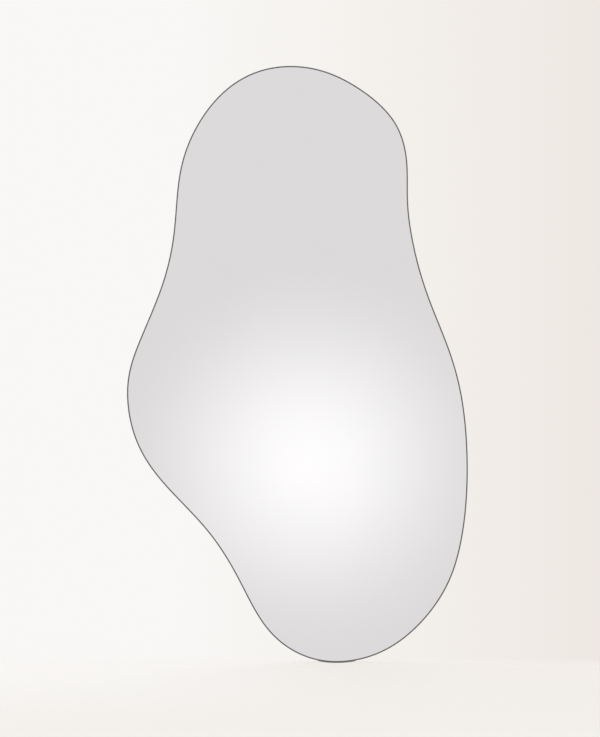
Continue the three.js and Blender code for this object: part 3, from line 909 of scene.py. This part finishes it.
class World(NodeTree):
    """The studio as a colour for each direction, the same for every kind of ray. The half behind the
    mirror is the wall, and the half in front is the room that the mirror reflects."""

    REFLECTANCE = (0.950, 0.955, 0.947)  # of the mirror, square on

    def __init__(self):
        world = bpy.data.worlds.new("studio")
        bpy.context.scene.world = world
        super().__init__(world)
        direction = self.node("ShaderNodeTexCoord").outputs["Generated"]
        self.x, self.y, self.z = self.node("ShaderNodeSeparateXYZ", {0: direction}).outputs
        forwards = self.math("MAXIMUM", self.math("ABSOLUTE", self.y), 0.03)
        self.across = self.math("DIVIDE", self.x, forwards)
        self.height = self.math("DIVIDE", self.z, forwards)
        level = self.math("SQRT", self.math("SUBTRACT", 1.0, self.math("POWER", self.z, 2.0)))
        self.elevation = self.math("DIVIDE", self.z, self.math("MAXIMUM", level, 0.03))
        colour = self.mix(self.ramp(self.y, -0.2, 0.2), self.room_side(), self.wall_side())
        colour = self.mix(self.ramp(self.z, 0.3, 0.95), colour, OVERHEAD)
        self.tree.links.new(colour, self.tree.nodes["Background"].inputs["Color"])

    def reflected(self, red, green, blue):
        """The radiance that the mirror shows as this sRGB colour."""
        pairs = zip(linear(red, green, blue), self.REFLECTANCE)
        return tuple(channel / share for channel, share in pairs) + (1,)

    def wall_side(self):
        """The pale wall, even on the left and darker and warmer to the right, and the floor under it. The
        line between them hardly shows on the left, where both are as pale."""
        to_right = self.rerange(self.across, slope_across(BACKDROP_LEFT_PX), slope_across(IMAGE_WIDTH))
        wall = self.mix(to_right, WALL_LEFT, WALL_RIGHT)
        floor_to_right = self.ramp(self.across, slope_across(120), slope_across(560))
        floor = self.mix(floor_to_right, FLOOR_LEFT, FLOOR_RIGHT_SHADED)
        nearer = self.ramp(self.elevation, slope_up(670), slope_up(IMAGE_HEIGHT))
        floor = self.mix(nearer, floor, FLOOR_NEAR_SHADED)
        return self.mix(self.ramp(self.elevation, slope_up(655), slope_up(662)), wall, floor)

    def room_side(self):
        """The even grey that the mirror reflects, with a round glow that fades out evenly. Outside what
        the photo shows of it, it is dimmer to the left and paler to the right, and has a floor."""
        off_x = self.math("SUBTRACT", self.across, slope_across(GLOW_CENTRE_PX[0]))
        off_z = self.math("SUBTRACT", self.height, slope_up(GLOW_CENTRE_PX[1]))
        square = self.math("ADD", self.math("POWER", off_x, 2.0), self.math("POWER", off_z, 2.0))
        scale = PIXEL / CAMERA_DISTANCE
        fade = self.ramp(self.math("SQRT", square), GLOW_CORE_PX * scale, GLOW_EDGE_PX * scale)
        wall = self.mix(fade, self.reflected(254.8, 253.4, 254.1), self.reflected(219.8, 217.8, 218.8))
        wall = self.mix(self.ramp(self.across, -0.25, -1.6), wall, linear(202, 201, 204))
        wall = self.mix(self.ramp(self.across, 0.25, 1.6), wall, linear(228, 225, 222))
        nearer = self.ramp(self.elevation, -0.25, -2.0)
        floor = self.mix(nearer, linear(235, 232, 229), linear(208, 206, 205))
        return self.mix(self.ramp(self.elevation, -0.2, -0.212), wall, floor)


def add_floor():
    """A pale floor at the object's lowest point, which ends softly at the wall and far from the object.
    It is partly see-through, so that the object's shadow is almost as faint as the photo's."""
    radius, rings, sides = 5.0, 12, 64
    share_of_floor = 0.36
    verts, faces = [(0, 0, 0)], []
    for ring in range(1, rings + 1):
        reach = radius * ring / rings
        for k in range(sides):
            turn = 2 * math.pi * k / sides
            verts.append((reach * math.cos(turn), reach * math.sin(turn), 0))
    for k in range(sides):
        j = (k + 1) % sides
        faces.append((0, 1 + k, 1 + j))
        for ring in range(rings - 1):
            a, b = 1 + ring * sides, 1 + (ring + 1) * sides
            faces.append((a + k, b + k, b + j, a + j))
    mesh = to_mesh("floor", verts, faces)
    floor = bpy.data.objects.new("floor", mesh)
    floor.location = (VIEW_X, 0, CAD_BOUNDS[0].z)
    bpy.context.scene.collection.objects.link(floor)

    finish = Finish("floor", specular_ior_level=0.0, roughness=1.0)
    x, y, _ = finish.node("ShaderNodeSeparateXYZ", {0: finish.place}).outputs
    grain = finish.noise(0.02, 4)
    # Painted shade: the floor's colour darkens to the right and towards the camera, as light falling off
    # across the studio would darken it.
    tone = finish.mix(finish.ramp(x, -0.42, 0.6), FLOOR_LEFT, FLOOR_RIGHT_SHADED)
    tone = finish.mix(finish.ramp(y, -0.05, -0.9), tone, FLOOR_NEAR_SHADED)
    shade = finish.rerange(grain, 0.3, 0.7, to_high=0.15)
    finish.drive("Base Color", finish.mix(shade, tone, linear(240, 237, 233)))
    lengths = finish.node("ShaderNodeVectorMath", {0: finish.place}, operation="LENGTH").outputs
    inside = finish.ramp(lengths["Value"], 4.6, 2.6)
    before_wall = finish.ramp(y, 0.05, -0.1)
    rays = finish.node("ShaderNodeLightPath").outputs
    unseen = finish.math("MAXIMUM", rays["Is Glossy Ray"], rays["Is Transmission Ray"])
    alpha = finish.math("MULTIPLY", inside, before_wall)
    alpha = finish.math("MULTIPLY", alpha, finish.rerange(unseen, 0, 1, share_of_floor, 0))
    finish.drive("Alpha", alpha)
    mesh.materials.append(finish.material)


def add_softbox(name, place, power):
    """A large soft lamp that faces the mirror's middle."""
    data = bpy.data.lights.new(name, "AREA")
    data.shape, data.size, data.energy = "SQUARE", 1.8, power
    light = bpy.data.objects.new(name, data)
    light.location = place
    towards = Vector((0, 0, BAND.z)) - Vector(place)
    light.rotation_euler = towards.to_track_quat("-Z", "Y").to_euler()
    bpy.context.scene.collection.objects.link(light)


# ---------------------------------------------------------------------------------------------- build

build_band()
build_glass()
build_panel()
build_edge_seal()
build_foot_pad()
for lug_number in range(1, LUG_COUNT + 1):
    build_lug(f"{lug_number:02d}")
build_butt_weld()

GOLDEN_TURN = 2.4  # spreads the recesses' turns without any pattern
screw_nodes = sorted(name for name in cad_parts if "_screw_" in name)
for index, screw_node in enumerate(screw_nodes):
    build_screw(screw_node, index * GOLDEN_TURN)

build_wall_rail()
build_hanging_rail()
for bumper_side in ("left", "right", "foot"):
    build_bumper(bumper_side)
dress_kept_nodes()

add_camera()
World()
add_floor()
add_softbox("key", place=(-1.9, -2.4, 1.5), power=22)
add_softbox("back_fill", place=(1.6, 2.6, 0.9), power=14)
bpy.context.scene.view_settings.view_transform = "Standard"
